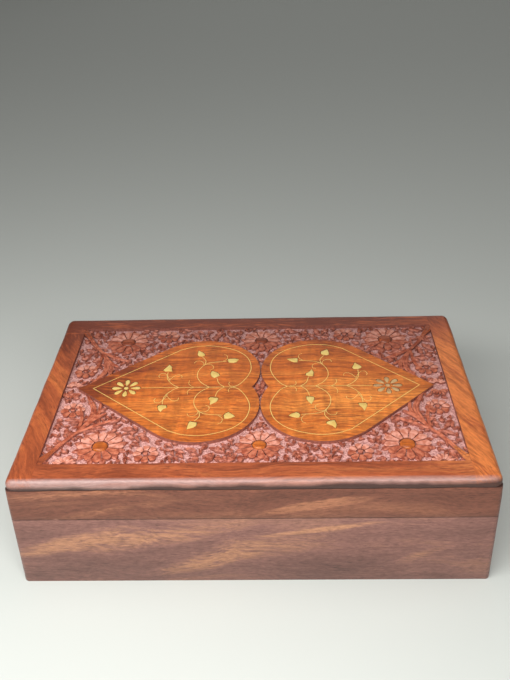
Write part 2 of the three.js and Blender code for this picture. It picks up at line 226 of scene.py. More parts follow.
def combined(tree, operation, first, second):
    made = node(tree, "VectorMath", {0: first, 1: second}, operation=operation)
    return made.outputs["Vector"]


def blotches(tree, place, patches):
    """Soft elliptical patches: a centre, half sizes and a tilt about Y or Z, with a strength."""
    total = None
    for centre, half, turn, strength in patches:
        spot = node(
            tree, "Mapping",
            {"Vector": place, "Location": centre, "Rotation": turn, "Scale": half},
            vector_type="TEXTURE",
        )
        glow = node(tree, "TexGradient", {"Vector": spot.outputs["Vector"]}, gradient_type="SPHERICAL")
        patch = maths(tree, "MULTIPLY", glow.outputs["Fac"], strength)
        total = patch if total is None else maths(tree, "ADD", total, patch)
    return total


def grain_noise(tree, place, scale, detail=3, roughness=0.55, distortion=0.0):
    stretched = node(tree, "Mapping", {"Vector": place, "Scale": scale})
    made = node(tree, "TexNoise", {
        "Vector": stretched.outputs["Vector"], "Scale": 1.0, "Detail": detail,
        "Roughness": roughness, "Distortion": distortion,
    })
    return made.outputs["Fac"]


# Dark colour for joint lines, and for painted shade along the top board's joint.
joint_and_shade_dark = (0.030, 0.012, 0.009)


def darken_joints_and_shade(tree, place, colour, lines):
    """Darkens joints, with painted shade where the reach is wide, most on the right: each has a height,
    reach, strength and raggedness.
    """
    apart = node(tree, "SeparateXYZ", {"Vector": place}).outputs
    height = apart["Z"]
    ragged = shade(tree, grain_noise(tree, place, (28, 28, 8), 3, 0.6), 0.35, 0.65, 0.0, 0.7)
    ragged = maths(tree, "ADD", ragged, shade(tree, apart["X"], -0.08, 0.0, 0.8, 0.0))
    for level, reach, strength, wander in lines:
        gap = maths(tree, "ABSOLUTE", maths(tree, "SUBTRACT", height, level))
        gap = maths(tree, "ADD", gap, maths(tree, "MULTIPLY", ragged, wander))
        share = shade(tree, gap, 0.55 * reach, reach, strength, 0.0)
        colour = mixed(tree, share, colour, joint_and_shade_dark)
    return colour


def chipped(tree, place, colour, level):
    """Small pale chips where a sharp edge has been knocked."""
    height = node(tree, "SeparateXYZ", {"Vector": place}).outputs["Z"]
    gap = maths(tree, "ABSOLUTE", maths(tree, "SUBTRACT", height, level))
    near = shade(tree, gap, 0.0005, 0.0009, 1.0, 0.0)
    knocks = shade(tree, grain_noise(tree, place, (60, 60, 500), 3, 0.6), 0.60, 0.66, 0.0, 0.55)
    return mixed(tree, maths(tree, "MULTIPLY", near, knocks), colour, (0.55, 0.27, 0.20))


patch_drift = (0.03, 0.012, 0.012)
# Band in Y along the front rounded edge where the painted highlight fades in.
highlight_from, highlight_to = -0.0957, -0.0978


def rosewood(
    name, dark, middle, light, turn=(0, 0, 0), patches=(), shine=0.42, coat=0.25, contrast=1.0,
    figure_scale=(5, 55, 55), vein_scale=(9, 240, 240), streaks=0.55, fibre=0.16, shimmer=0.0,
    joints=(), edge_highlight=None,
):
    """Rosewood with its grain along X once turned: broad figure, veins, fine lines and pores.

    Patches lighten or darken a region, shimmer is the ripple across the grain, and the last
    argument is the pale colour painted on the front rounded edge as a highlight.
    """
    material = bpy.data.materials.new(name)
    material.use_nodes = True
    tree = material.node_tree
    shader = tree.nodes["Principled BSDF"]
    place = node(tree, "TexCoord").outputs["Object"]
    turned = node(tree, "Mapping", {"Vector": place, "Rotation": turn}).outputs["Vector"]
    drift = node(tree, "TexNoise", {"Vector": turned, "Scale": 14.0, "Detail": 2.0}).outputs["Color"]
    bend = combined(tree, "MULTIPLY", combined(tree, "SUBTRACT", drift, (0.5, 0.5, 0.5)), (0, 0.02, 0.02))
    bent = combined(tree, "ADD", turned, bend)
    figure = grain_noise(tree, bent, figure_scale, 5, 0.6)
    figure = shade(tree, figure, 0.3, 0.7, 0.5 - 0.5 * contrast, 0.5 + 0.5 * contrast)
    if patches:
        drifted = combined(tree, "ADD", place, combined(tree, "MULTIPLY", drift, patch_drift))
        drifted = combined(tree, "SUBTRACT", drifted, [part / 2 for part in patch_drift])
        broken = shade(tree, grain_noise(tree, bent, (60, 600, 600), 4, 0.7), 0.32, 0.66, 0.1, 1.6)
        toned = maths(tree, "MULTIPLY", blotches(tree, drifted, patches), broken)
        figure = maths(tree, "ADD", figure, toned)
    colour = ramp(tree, figure, [(0.0, dark), (0.5, middle), (1.0, light)])
    lines = grain_noise(tree, bent, (22, 620, 620), 4, 0.6)
    veins = grain_noise(tree, bent, vein_scale, 5, 0.7)
    colour = mixed(tree, shade(tree, veins, 0.52, 0.7, 0.0, streaks), colour, dark)
    colour = mixed(tree, shade(tree, lines, 0.48, 0.68, 0.0, streaks), colour, dark)
    pores = grain_noise(tree, turned, (160, 2600, 2600), 2, 0.5)
    pore = shade(tree, pores, 0.62, 0.7, 0.0, 0.75)
    colour = mixed(tree, pore, colour, [0.35 * part for part in dark])
    # Painted highlight: the front rounded edge is mixed towards a pale colour, less where the figure is
    # light.
    if edge_highlight:
        front = node(tree, "SeparateXYZ", {"Vector": place}).outputs["Y"]
        highlight_share = shade(tree, front, highlight_from, highlight_to, 0.0, 1.0)
        highlight_share = maths(tree, "MULTIPLY", highlight_share, shade(tree, figure, 0.1, 0.8, 0.95, 0.5))
        colour = mixed(tree, highlight_share, colour, edge_highlight)
    flecks = grain_noise(tree, bent, (240, 1000, 1000), 3, 0.6)
    fleck = shade(tree, flecks, 0.3, 0.7, 1 - fibre, 1 + fibre)
    colour = mixed(tree, 1.0, colour, fleck, "MULTIPLY")
    if shimmer:
        ripple = grain_noise(tree, bent, (150, 34, 34), 3, 0.6, 0.6)
        glow = shade(tree, ripple, 0.32, 0.68, 1 - shimmer, 1 + shimmer)
        colour = mixed(tree, 1.0, colour, glow, "MULTIPLY")
    # Joint lines, and for the top board a painted shade band up the lower part of its rounded edge.
    if joints:
        colour = chipped(tree, place, colour, seam / 1000)
        colour = darken_joints_and_shade(tree, place, colour, joints)
    tree.links.new(colour, shader.inputs["Base Color"])
    rough = shade(tree, lines, 0.3, 0.7, shine - 0.05, shine + 0.1)
    tree.links.new(rough, shader.inputs["Roughness"])
    shader.inputs["Specular IOR Level"].default_value = 0.27
    shader.inputs["Coat Weight"].default_value = coat
    shader.inputs["Coat Roughness"].default_value = 0.22
    relief = maths(tree, "SUBTRACT", maths(tree, "MULTIPLY", lines, 0.4), pore)
    bump = node(tree, "Bump", {"Height": relief, "Strength": 0.35, "Distance": 0.00012})
    tree.links.new(bump.outputs["Normal"], shader.inputs["Normal"])
    return material


base_flames = [
    ((-0.113, -0.1, 0.034), (0.055, 0.06, 0.0085), (0, -0.22, 0), 0.9),
    ((-0.060, -0.1, 0.038), (0.070, 0.06, 0.0095), (0, -0.20, 0), 0.7),
    ((0.046, -0.1, 0.0438), (0.045, 0.06, 0.0024), (0, -0.13, 0), 1.0),
    ((0.110, -0.1, 0.023), (0.024, 0.06, 0.0040), (0, -0.35, 0), 0.4),
    ((-0.033, -0.1, 0.017), (0.045, 0.06, 0.0080), (0, -0.22, 0), 0.75),
    ((0.002, -0.1, 0.030), (0.070, 0.06, 0.0150), (0, -0.15, 0), 0.5),
    ((0.135, -0.1, 0.030), (0.050, 0.06, 0.0300), (0, 0.0, 0), -0.25),
    ((0.055, -0.1, 0.012), (0.050, 0.06, 0.0120), (0, -0.1, 0), -0.35),
    ((-0.130, -0.1, 0.008), (0.060, 0.06, 0.0100), (0, -0.1, 0), -0.3),
]
lid_flames = [
    ((0.042, -0.1, 0.064), (0.042, 0.06, 0.0045), (0, -0.15, 0), 1.1),
    ((-0.105, -0.1, 0.074), (0.070, 0.06, 0.0050), (0, 0.0, 0), 0.5),
    ((-0.085, -0.1, 0.060), (0.050, 0.06, 0.0050), (0, -0.2, 0), 0.35),
    ((-0.010, -0.1, 0.068), (0.050, 0.06, 0.0060), (0, -0.1, 0), -0.25),
]
wall_joints = [(seam / 1000, 0.00034, 0.8, 0.0), (lid_wall_top / 1000, 0.0006, 0.9, 0.0)]
wall_woods = {}
for part, tones, flames in (
    ("base", ((0.12, 0.058, 0.047), (0.235, 0.110, 0.087), (0.43, 0.205, 0.115)), base_flames),
    ("lid", ((0.09, 0.030, 0.018), (0.178, 0.064, 0.039), (0.37, 0.15, 0.078)), lid_flames),
):
    wall_woods[part, 0] = rosewood(
        f"{part}_long_wall_wood", *tones, patches=flames, contrast=0.5, streaks=0.3, fibre=0.22,
        joints=wall_joints,
    )
    wall_woods[part, 1] = rosewood(
        f"{part}_end_wall_wood", *tones, turn=(0, 0, math.radians(88)), contrast=0.8, streaks=0.35,
        fibre=0.22, joints=wall_joints,
    )


def wall_frame(low, high):
    """All four boards of the base or the lid in one ring, with the lip or its rebate."""
    frame_stock = wall_slab(low, high)
    if low == 0:
        lip = centred_block(inner_x + lip_thickness, inner_y + lip_thickness, seam / 2, seam + lip_height)
        work(frame_stock, "UNION", stock("lip", lip))
        step = centred_block(inner_x + bottom_rebate, inner_y + bottom_rebate, -past, bottom_thickness)
    else:
        room = lip_thickness + lip_clearance
        step = centred_block(inner_x + room, inner_y + room, low - past, low + lip_height + lip_clearance)
    hollow = centred_block(inner_x, inner_y, low - past, high + lip_height + past)
    return work(frame_stock, "DIFFERENCE", stock("hollow", hollow), stock("step", step))


slice_length, slice_height = 5, 4
outside, zone_foot, zone_top = 200, -5, 90
wall_zones = {
    "front": ((-outside, -outside), (outside, -inner_y)),
    "back": ((-outside, inner_y), (outside, outside)),
    "left": ((-outside, -inner_y), (-inner_x, inner_y)),
    "right": ((inner_x, -inner_y), (outside, inner_y)),
}
for part, low, high in (("base", 0, seam), ("lid", seam, lid_wall_top)):
    for side, (start, end) in wall_zones.items():
        wall = wall_frame(low, high)
        work(wall, "INTERSECT", stock("zone", block((*start, zone_foot), (*end, zone_top))))
        shape = bmesh.new()
        shape.from_mesh(wall.data)
        axis = 0 if side in ("front", "back") else 1
        reach = (box_width, box_depth)[axis] / 2
        sliced(shape, axis, -reach, reach, slice_length)
        if part == "lid":
            sliced(shape, 2, low, high, slice_height)
            sanded(shape)
        shape.to_mesh(wall.data)
        shape.free()
        finished(wall, f"{part}_{side}_board", [wall_woods[part, axis]])
        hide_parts(f"{part}_{side}_wall")


# Bottom panel: one thin rosewood board, let into a rebate under the walls and glued, flush
# with their lower edges. It is sanded and left without lacquer.

panel_wood = rosewood(
    "panel_wood", (0.12, 0.05, 0.03), (0.25, 0.12, 0.075), (0.36, 0.19, 0.12),
    shine=0.65, coat=0.0, contrast=0.7,
)
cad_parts["bottom_panel"].data.materials.clear()
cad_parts["bottom_panel"].data.materials.append(panel_wood)


# Top board: one thick board, its upper edges rounded over. The ground is cut down inside a
# frame, which leaves the hearts standing at full height, and shallow pockets take the brass.

edge_round, board_corner, round_steps = 5.2, 5.6, 8
frame_width = 17.4
rail_joint_y = 75.7
carving_depth = 2.6
pattern_shift = 4
lobe_radius, lobe_spacing = 41.5, 41
heart_gap = 0.8
ground = board_top - carving_depth
field_x = box_width / 2 - frame_width
field_y = box_depth / 2 - frame_width
hearts = {"left": (-1, 128.6, 0), "right": (1, 121, 0.07)}


def heart_x(heart, along):
    """The place along X at a distance from the notch side of a heart towards its tip."""
    return pattern_shift + hearts[heart][0] * (heart_gap / 2 + along)


def side_angle(heart):
    """The angle between a heart's straight side and its middle line."""
    reach = hearts[heart][1] - lobe_radius
    rise = lobe_spacing / 2
    return math.asin(lobe_radius / math.hypot(reach, rise)) + math.atan(rise / reach)


def heart_distance(x, y):
    """How far a place lies outside the nearer heart, below zero when it is on one."""
    nearest = box_width
    for heart, (direction, length, _) in hearts.items():
        along = (x - pattern_shift) * direction - heart_gap / 2
        across = abs(y)
        angle = side_angle(heart)
        if along > lobe_radius + lobe_radius * math.sin(angle):
            distance = (along - length) * math.sin(angle) + across * math.cos(angle)
        else:
            distance = math.hypot(along - lobe_radius, max(0, across - lobe_spacing / 2)) - lobe_radius
        nearest = min(nearest, distance)
    return nearest


def raised(shape, low, high):
    """Fills the closed line of edges at height low and draws it up to height high."""
    for vert in shape.verts:
        vert.co.z = low
    face = bmesh.ops.contextual_create(shape, geom=shape.edges[:])["faces"]
    made = bmesh.ops.extrude_face_region(shape, geom=face, use_keep_orig=True)["geom"]
    tops = [item for item in made if isinstance(item, bmesh.types.BMVert)]
    bmesh.ops.translate(shape, vec=(0, 0, high - low), verts=tops)
    return outward(shape)


def heart_plate(heart, low, high):
    """One heart: a round lobe and a straight side, mirrored across its middle line."""
    shape = bmesh.new()
    angle = side_angle(heart)
    centre = Vector((lobe_radius, lobe_spacing / 2, 0))
    start = shape.verts.new(centre + lobe_radius * Vector((math.sin(angle), math.cos(angle), 0)))
    sweep = math.pi / 2 + math.asin(lobe_spacing / 2 / lobe_radius) + angle
    bmesh.ops.spin(shape, geom=[start], cent=centre, axis=(0, 0, 1), angle=sweep, steps=40)
    shape.edges.new((shape.verts.new((hearts[heart][1], 0, 0)), start))
    bmesh.ops.mirror(shape, geom=shape.verts[:] + shape.edges[:], axis="Y", merge_dist=0.001)
    bmesh.ops.remove_doubles(shape, verts=shape.verts, dist=0.01)
    for vert in shape.verts:
        vert.co.x = heart_x(heart, vert.co.x)
    return raised(shape, low, high)


blank = centred_block(box_width / 2, box_depth / 2, lid_wall_top, board_top)
rounded(blank, [edge for edge in blank.edges if upright(edge)], board_corner, round_steps)
rounded(blank, rim(blank, board_top), edge_round, round_steps)
rounded(blank, rim(blank, lid_wall_top), arris, arris_steps)
sliced(blank, 0, -box_width / 2, box_width / 2, slice_length)
sliced(blank, 1, -box_depth / 2, box_depth / 2, slice_length)
for joint in (Vector((-field_x, 0, 0)), Vector((field_x, 0, 0)), Vector((0, rail_joint_y, 0))):
    bmesh.ops.bisect_plane(
        blank, geom=blank.verts[:] + blank.edges[:] + blank.faces[:],
        plane_co=joint, plane_no=joint.normalized(),
    )
sanded(blank)
board = stock("board", blank)

recess = stock("recess", centred_block(field_x, field_y, ground, board_top + past))
work(recess, "DIFFERENCE", *[
    stock("heart", heart_plate(heart, ground - past, board_top + 2 * past)) for heart in hearts
])
work(board, "DIFFERENCE", recess)


def spline(points, share):
    """A point on the smooth curve through the points, at a share of its run."""
    place = min(share, 0.999999) * (len(points) - 1)
    i = int(place)
    t = place - i
    before, start, end, after = (
        Vector(points[min(max(i + k, 0), len(points) - 1)]) for k in (-1, 0, 1, 2)
    )
    leave, arrive = (end - before) / 2, (after - start) / 2
    return (
        (2 * start - 2 * end + leave + arrive) * t**3
        + (3 * end - 3 * start - 2 * leave - arrive) * t**2
        + leave * t + start
    )


def curve_line(points, steps):
    return [spline(points, i / steps) for i in range(steps + 1)]


mitre_limit = 1.6


def strip(line, width, low, high, closed=False):
    """A flat ribbon along a line of points, with square sides."""
    shape = bmesh.new()
    step = shape.verts.layers.int.new("step")
    count = len(line)
    sides = []
    for i, point in enumerate(line):
        before = line[i - 1] if i or closed else point
        after = line[(i + 1) % count] if i < count - 1 or closed else point
        along = (point - before).normalized() + (after - point).normalized()
        stretch = 2 / along.length if 0 < i < count - 1 or closed else 1
        along.normalize()
        side = Vector((-along.y, along.x, 0)) * min(stretch, mitre_limit) * width / 2
        sides.append(side)
        vert = shape.verts.new(Vector((point.x, point.y, low)) + side)
        vert[step] = i
    shape.verts.ensure_lookup_table()
    for i in range(count if closed else count - 1):
        shape.edges.new((shape.verts[i], shape.verts[(i + 1) % count]))
    made = bmesh.ops.extrude_edge_only(shape, edges=shape.edges[:])["geom"]
    for item in made:
        if isinstance(item, bmesh.types.BMVert):
            item.co -= 2 * sides[item[step]]
    made = bmesh.ops.extrude_face_region(shape, geom=shape.faces[:], use_keep_orig=True)["geom"]
    tops = [item for item in made if isinstance(item, bmesh.types.BMVert)]
    bmesh.ops.translate(shape, vec=(0, 0, high - low), verts=tops)
    return outward(shape)


inlay_foot = board_top - 1.2
border_width, wire_width, tendril_width = 0.5, 0.45, 0.32
pocket_gap, wire_gap = 0.35, 0.03
leaf_reach, leaf_spread, leaf_standoff = 8.2, 6.2, 0.8
flower_share, flower_radius, petal_length, petal_spread = 0.735, 10, 6.8, 3.9
brass_petals = 8
centre_radius = 1.6
border_tip_inset, border_steps = 7, 64
border_run = [
    (0.45, 0), (0.33, 0.1), (0.2, 0.36), (0.16, 0.62), (0.24, 0.93),
    (0.48, 1.18), (0.87, 1.32), (1.2, 1.3), (1.45, 1.19),
]
leaf_runs = [
    [(0.86, 0), (1.02, 0.16), (1.09, 0.36), (1.05, 0.58), (0.91, 0.75), (0.6, 0.8)],
    [(1.38, 0), (1.5, 0.1), (1.6, 0.27), (1.61, 0.48)],
    [(0.6, 0), (0.7, 0.11), (0.745, 0.28)],
    [(0.99, 0.67), (0.97, 0.82), (1.04, 0.95)],
]
tendril_runs = [
    [(1.0, 0.68), (1.01, 0.76), (1.075, 0.82), (1.147, 0.81), (1.171, 0.747)],
    [(0.96, 0.71), (0.89, 0.705), (0.83, 0.65), (0.83, 0.56), (0.889, 0.527)],
    [(0.66, 0.81), (0.61, 0.86), (0.59, 0.93), (0.61, 1.0), (0.66, 1.03)],
    [(1.55, 0.2), (1.6, 0.34), (1.66, 0.43), (1.73, 0.43), (1.76, 0.36), (1.74, 0.31)],
    [(1.56, 0.24), (1.48, 0.36), (1.41, 0.39), (1.36, 0.36), (1.355, 0.3)],
    [(1.12, 0), (1.18, 0.05), (1.22, 0.12), (1.21, 0.21)],
    [(0.42, 0.02), (0.5, 0.03), (0.53, 0.09), (0.52, 0.15)],
]


def on_heart(heart, run, side, shift):
    """A run given in lobe radii, laid on one side of a heart's middle line."""
    return [
        Vector((heart_x(heart, (a + shift) * lobe_radius), side * b * lobe_radius, 0))
        for a, b in run
    ]


def vine_lines(heart):
    """Each wire of one vine: its line of points and its width."""
    shift = hearts[heart][2]
    notch = border_run[0][0] * lobe_radius + wire_width
    end = hearts[heart][1] * flower_share - flower_radius - 1
    lines = [([Vector((heart_x(heart, a), 0, 0)) for a in (notch, end)], wire_width)]
    for side in (1, -1):
        for run in leaf_runs:
            lines.append((curve_line(on_heart(heart, run, side, shift), 5 * len(run)), wire_width))
        for run in tendril_runs:
            lines.append((curve_line(on_heart(heart, run, side, shift), 4 * len(run)), tendril_width))
    return lines


def border_line(heart):
    upper = curve_line(on_heart(heart, border_run, 1, 0), border_steps)
    lower = curve_line(on_heart(heart, border_run, -1, 0), border_steps)
    tip = hearts[heart][1] - border_tip_inset / math.sin(side_angle(heart))
    return upper + [Vector((heart_x(heart, tip), 0, 0))] + lower[:0:-1]


def leaf_places(heart):
    places = []
    for side in (1, -1):
        for run in leaf_runs:
            points = on_heart(heart, run, side, hearts[heart][2])
            end = spline(points, 1)
            along = (end - spline(points, 0.999)).normalized()
            places.append((end + along * (pocket_gap + leaf_standoff), math.atan2(along.y, along.x)))
    return places


def placed(shape, where, heading, low, high):
    bmesh.ops.rotate(shape, cent=(0, 0, 0), matrix=Matrix.Rotation(heading, 3, "Z"), verts=shape.verts)
    bmesh.ops.translate(shape, vec=where, verts=shape.verts)
    return raised(shape, low, high)


leaf_lean, corner_wander = 0.16, (0.09, 0.26)
spade = [(0, 0), (0.04, -0.8), (0.3, -1), (0.62, -0.6), (1, 0), (0.62, 0.6), (0.3, 1), (0.04, 0.8)]
saw = random.Random(5)


def sawn_outline():
    """The spade as one hand-sawn leaf has it: its stalk end stays and its corners wander."""
    outline = [spade[0]]
    for corner in spade[1:]:
        outline.append([part + saw.uniform(-most, most) for part, most in zip(corner, corner_wander)])
    return outline


leaf_count = 2 * len(leaf_runs)
leaf_cuts = {
    heart: [(saw.uniform(-leaf_lean, leaf_lean), sawn_outline()) for _ in range(leaf_count)]
    for heart in hearts
}


def sawn_leaf(where, heading, outline, margin, low, high):
    shape = bmesh.new()
    made = bmesh.ops.create_circle(shape, segments=len(outline), radius=1)["verts"]
    length, half = leaf_reach + 2 * margin, leaf_spread / 2 + margin
    for vert, (along, across) in zip(made, outline):
        vert.co = (along * length - margin, across * half, 0)
    return placed(shape, where, heading, low, high)


def teardrop(where, heading, margin, low, high):
    """A petal outline whose round end is the outer one."""
    shape = bmesh.new()
    made = bmesh.ops.create_circle(shape, segments=18, radius=1)["verts"]
    inner = flower_radius - petal_length - margin
    length, half = petal_length + 2 * margin, petal_spread / 2 + margin
    for vert in made:
        share = (1 + vert.co.x) / 2
        vert.co = (inner + length * share, vert.co.y * half * (0.12 + share) ** 0.6, 0)
    return placed(shape, where, heading, low, high)


def disc(where, radius, low, high):
    shape = bmesh.new()
    bmesh.ops.create_circle(shape, segments=20, radius=radius)
    return placed(shape, where, 0, low, high)


def flower_shapes(heart, margin, low, high):
    centre = Vector((heart_x(heart, hearts[heart][1] * flower_share), 0, 0))
    petals = [
        teardrop(centre, 2 * math.pi * i / brass_petals, margin, low, high)
        for i in range(brass_petals)
    ]
    return petals + [disc(centre, centre_radius + margin, low, high)]


def leaf_shapes(heart, margin, low, high):
    return [
        sawn_leaf(where, heading + turn, outline, margin, low, high)
        for (where, heading), (turn, outline) in zip(leaf_places(heart), leaf_cuts[heart])
    ]


def wire_shapes(heart, margin, low, high):
    return [strip(line, width + 2 * margin, low, high) for line, width in vine_lines(heart)]


def eased(piece, wanted, offset):
    """Rounds the wanted edges of a piece that is already on the bench."""
    shape = bmesh.new()
    shape.from_mesh(piece.data)
    edges = [edge for edge in shape.edges if wanted(edge)]
    rounded(shape, edges, offset, 2)
    shape.to_mesh(piece.data)
    shape.free()


carved_arris, near = 0.35, 0.01


def round_the_field(edge):
    """Whether an edge is a sharp one at the top of the frame or of a heart."""
    if any(abs(vert.co.z - board_top) > near for vert in edge.verts) or edge.calc_face_angle(0) < 1:
        return False
    return all(abs(vert.co.x) < field_x + near and abs(vert.co.y) < field_y + near for vert in edge.verts)


eased(board, round_the_field, carved_arris)
cutters = []
for heart in hearts:
    top = board_top + past
    pockets = leaf_shapes(heart, pocket_gap, inlay_foot, top)
    pockets += flower_shapes(heart, pocket_gap, inlay_foot, top)
    pockets += wire_shapes(heart, wire_gap, inlay_foot, top)
    pockets.append(strip(border_line(heart), border_width + 2 * wire_gap, inlay_foot, top, closed=True))
    cutters += [stock("pocket", pocket) for pocket in pockets]
work(board, "DIFFERENCE", *cutters)

# Top board: a dark line at its joint with the lid walls, and painted shade up the lower part of the
# rounded edge, wider on the right.
board_joint_and_shade = [(0.0785, 0.0060, 0.88, 0.0030)]
# Pale colour painted along the front rounded edge as a highlight.
edge_highlight_colour = (0.34, 0.218, 0.194)
end_grain_turn = math.radians(62)
# Frame patches: the back rail and the left back are darkened as painted shade; the right end is lighter
# in tone.
rail_tone_and_shade = [
    ((0.15, -0.02, 0.085), (0.05, 0.15, 0.05), (0, 0, 0), 0.8),
    ((0.0, 0.1, 0.085), (0.3, 0.06, 0.05), (0, 0, 0), -0.9),
    ((-0.16, 0.07, 0.085), (0.05, 0.10, 0.05), (0, 0, 0), -0.4),
    ((-0.11, -0.1, 0.085), (0.12, 0.05, 0.05), (0, 0, 0), -0.25),
]
frame_wood = rosewood(
    "frame_wood", (0.13, 0.026, 0.011), (0.35, 0.082, 0.028), (0.54, 0.17, 0.05), patches=rail_tone_and_shade,
    shine=0.36, coat=0.13, contrast=0.8, streaks=0.7, joints=board_joint_and_shade, edge_highlight=edge_highlight_colour,
)
end_rail_wood = rosewood(
    "end_rail_wood", (0.14, 0.028, 0.011), (0.37, 0.086, 0.027), (0.62, 0.18, 0.045), patches=rail_tone_and_shade,
    turn=(0, 0, end_grain_turn), shine=0.36, coat=0.13, contrast=0.9, streaks=0.55,
    joints=board_joint_and_shade, edge_highlight=edge_highlight_colour,
)
heart_tone = [
    ((-0.055, -0.02, 0.085), (0.065, 0.06, 0.05), (0, 0, 0), 0.25),
    ((0.065, -0.02, 0.085), (0.075, 0.05, 0.05), (0, 0, 0), 0.55),
    ((-0.115, 0.0, 0.085), (0.040, 0.06, 0.05), (0, 0, 0), -0.4),
    ((-0.09, 0.02, 0.085), (0.06, 0.03, 0.05), (0, 0, 0.6), -0.35),
    ((0.05, 0.06, 0.085), (0.06, 0.02, 0.05), (0, 0, -0.2), -0.4),
]
heart_wood = rosewood(
    "heart_wood", (0.17, 0.030, 0.008), (0.50, 0.120, 0.016), (0.72, 0.24, 0.042), patches=heart_tone,
    shine=0.36, coat=0.12, contrast=0.5, figure_scale=(8, 140, 140), streaks=0.7, fibre=0.2,
    vein_scale=(16, 420, 420), shimmer=0.2,
)


def plain(name, colour, roughness, bump=0.0, scale=900.0, second=None):
    """Cut wood or lac that shows no figure: speckled, and darkened towards the back as painted shade."""
    material = bpy.data.materials.new(name)
    material.use_nodes = True
    tree = material.node_tree
    shader = tree.nodes["Principled BSDF"]
    place = node(tree, "TexCoord").outputs["Object"]
    fleck = node(tree, "TexNoise", {"Vector": place, "Scale": scale, "Detail": 3.0}).outputs["Fac"]
    tint = mixed(tree, shade(tree, fleck, 0.4, 0.6), colour, second or [0.7 * part for part in colour])
    back = node(tree, "SeparateXYZ", {"Vector": place}).outputs["Y"]
    # Painted shade: the colour is darkened towards the back.
    tint = mixed(tree, 1.0, tint, shade(tree, back, -0.02, 0.08, 1.0, 0.69), "MULTIPLY")
    tree.links.new(tint, shader.inputs["Base Color"])
    shader.inputs["Roughness"].default_value = roughness
    shader.inputs["Specular IOR Level"].default_value = 0.3
    if bump:
        relief = node(tree, "Bump", {"Height": fleck, "Strength": bump, "Distance": 0.0003})
        tree.links.new(relief.outputs["Normal"], shader.inputs["Normal"])
    return material


stippled_ground = plain("stippled_ground", (0.66, 0.35, 0.31), 0.75, 1.0, 1000.0, (0.34, 0.145, 0.125))
# A darker wood painted on the sides of cut figures and on the recess walls, as their shade.
side_shade_wood = plain("side_shade_wood", (0.30, 0.095, 0.065), 0.7, 0.4, 600.0)
lac = plain("lac", (0.03, 0.012, 0.008), 0.5)

(
    frame_face, end_rail_face, heart_face, ground_face, side_shade_face, lac_face,
    gouged_face, lit_petal_face, red_petal_face,
) = range(9)
board_woods = [frame_wood, end_rail_wood, heart_wood, stippled_ground, side_shade_wood, lac]
shape = bmesh.new()
shape.from_mesh(board.data)
for face in shape.faces:
    centre, up = face.calc_center_median(), face.normal.z
    outside_heart = heart_distance(centre.x, centre.y)
    inside_heart = outside_heart < -0.4 and min(vert.co.z for vert in face.verts) > ground + 0.5
    if abs(centre.x) > field_x + 0.05 or abs(centre.y) > field_y + 0.05:
        in_end_rail = abs(centre.x) > field_x and not (centre.x < 0 and centre.y > rail_joint_y)
        face.material_index = end_rail_face if in_end_rail else frame_face
    elif centre.z < ground + 0.05 and up > 0.5:
        face.material_index = ground_face
    elif inside_heart:
        face.material_index = heart_face if centre.z > board_top - 0.02 else lac_face
    # Recess walls take the darker wood as painted shade.
    elif up < 0.2:
        face.material_index = side_shade_face
    else:
        face.material_index = heart_face if outside_heart < 0.2 else frame_face
shape.to_mesh(board.data)
shape.free()


# Carving: flowers, stems and leaves left standing on the stippled ground. Each is shaped with
# a gouge, so petals are scooped, leaves have a sunk midrib, and the buttons stay polished.

figure_top, figure_foot = board_top - 0.4, ground - 0.5
leaf_length, leaf_width = 11, 5.6
hand = random.Random(7)
carving = bmesh.new()
figure_mesh = bpy.data.meshes.new("figure")


def carve(steps, across, surface, wood=gouged_face):
    """Adds one figure: its top bent from a grid, its sides drawn down into the ground."""
    shape = bmesh.new()
    bmesh.ops.create_grid(shape, x_segments=steps, y_segments=across, size=1)
    for vert in shape.verts:
        vert.co = surface((vert.co.x + 1) / 2, vert.co.y)
    bmesh.ops.remove_doubles(shape, verts=shape.verts, dist=0.03)
    made = bmesh.ops.extrude_face_region(shape, geom=shape.faces[:], use_keep_orig=True)["geom"]
    for item in made:
        if isinstance(item, bmesh.types.BMVert):
            item.co.z = figure_foot
    feet = [item for item in made if isinstance(item, bmesh.types.BMFace)]
    bmesh.ops.dissolve_faces(shape, faces=feet)
    outward(shape)
    # Steep sides take the darker wood as painted shade.
    for face in shape.faces:
        face.material_index = wood if face.normal.z > 0.45 else side_shade_face
    shape.to_mesh(figure_mesh)
    shape.free()
    carving.from_mesh(figure_mesh)


def carved_leaf(base, heading, length, width, top, groove=0.6):
    """A pointed leaf with a sunk midrib, bent a little to one side."""
    along = Vector((math.cos(heading), math.sin(heading), 0))
    across = Vector((-along.y, along.x, 0))
    steps, strips = (6, 6) if length > 9 else (4, 4)
    bend = hand.uniform(-0.3, 0.3) * length

    def surface(s, v):
        half = 2 * s * (1 - s) * width
        fall = 0.55 * abs(v) ** 4 + groove * max(0, 1 - abs(v) * 2.2) + 0.5 * (2 * s - 1) ** 4
        centre = Vector(base) + along * length * (0.8 * s + 0.2 * s * s) + across * bend * s * (1 - s) * 2
        return centre + across * half * v + Vector((0, 0, top - fall))

    carve(steps, strips, surface)


